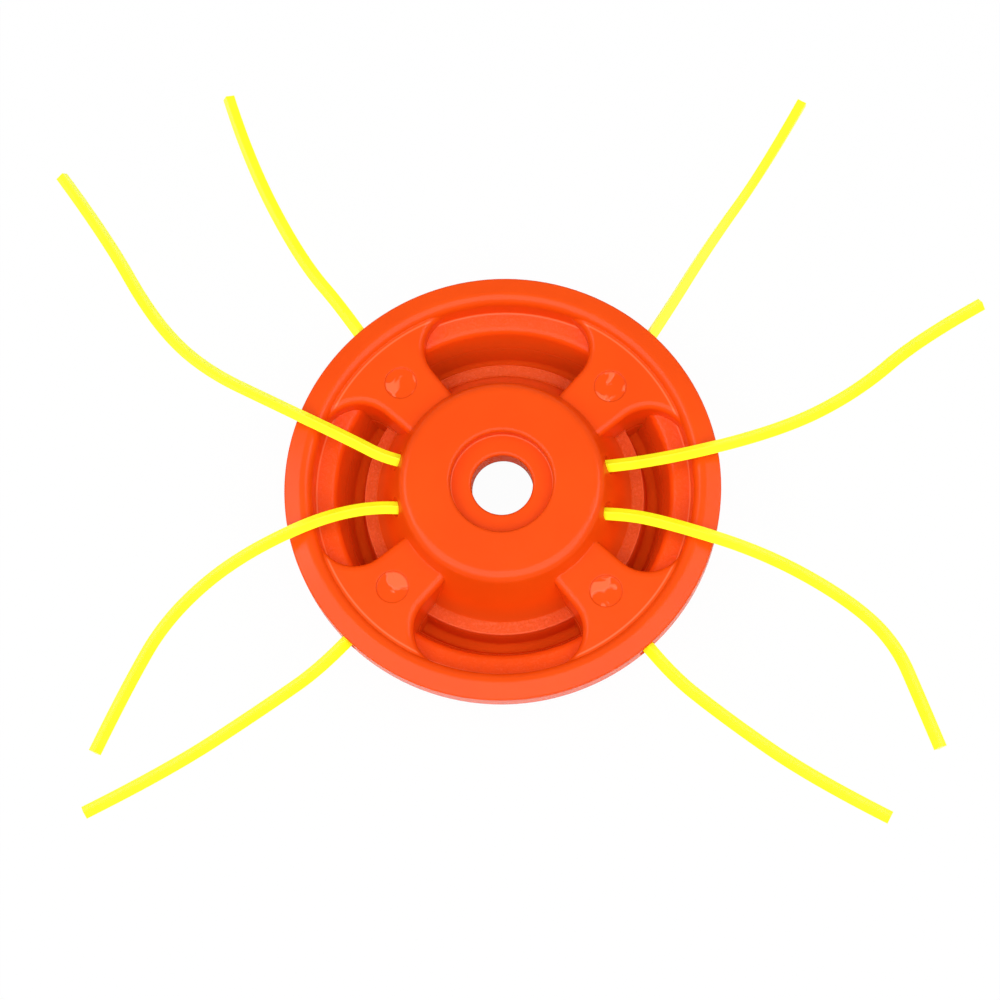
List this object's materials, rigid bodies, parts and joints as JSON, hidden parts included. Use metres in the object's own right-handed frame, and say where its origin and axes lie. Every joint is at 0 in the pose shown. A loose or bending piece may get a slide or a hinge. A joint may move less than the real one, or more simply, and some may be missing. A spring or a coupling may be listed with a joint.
{
  "type": "multi-line trimmer head",
  "caption": "Round die-cast trimmer head with kidney pockets, hollow spokes and a bored hub, threaded with loose square nylon cutting lines.",
  "frame": {"origin": "on the bore axis, on the surface the head stands on", "axes": "+Z along the bore axis towards the machine, X and Y through the pockets, the spokes on the diagonals"},
  "size_m": [0.2328, 0.1884, 0.0331],
  "materials": {
    "orange_paint": "semi-gloss orange paint",
    "line_nylon": "translucent fluorescent yellow nylon"
  },
  "bodies": {
    "root": {"head_body": "orange_paint", "line_left": "line_nylon", "line_right": "line_nylon", "line_rear": "line_nylon", "line_front": "line_nylon"}
  },
  "joints": []
}
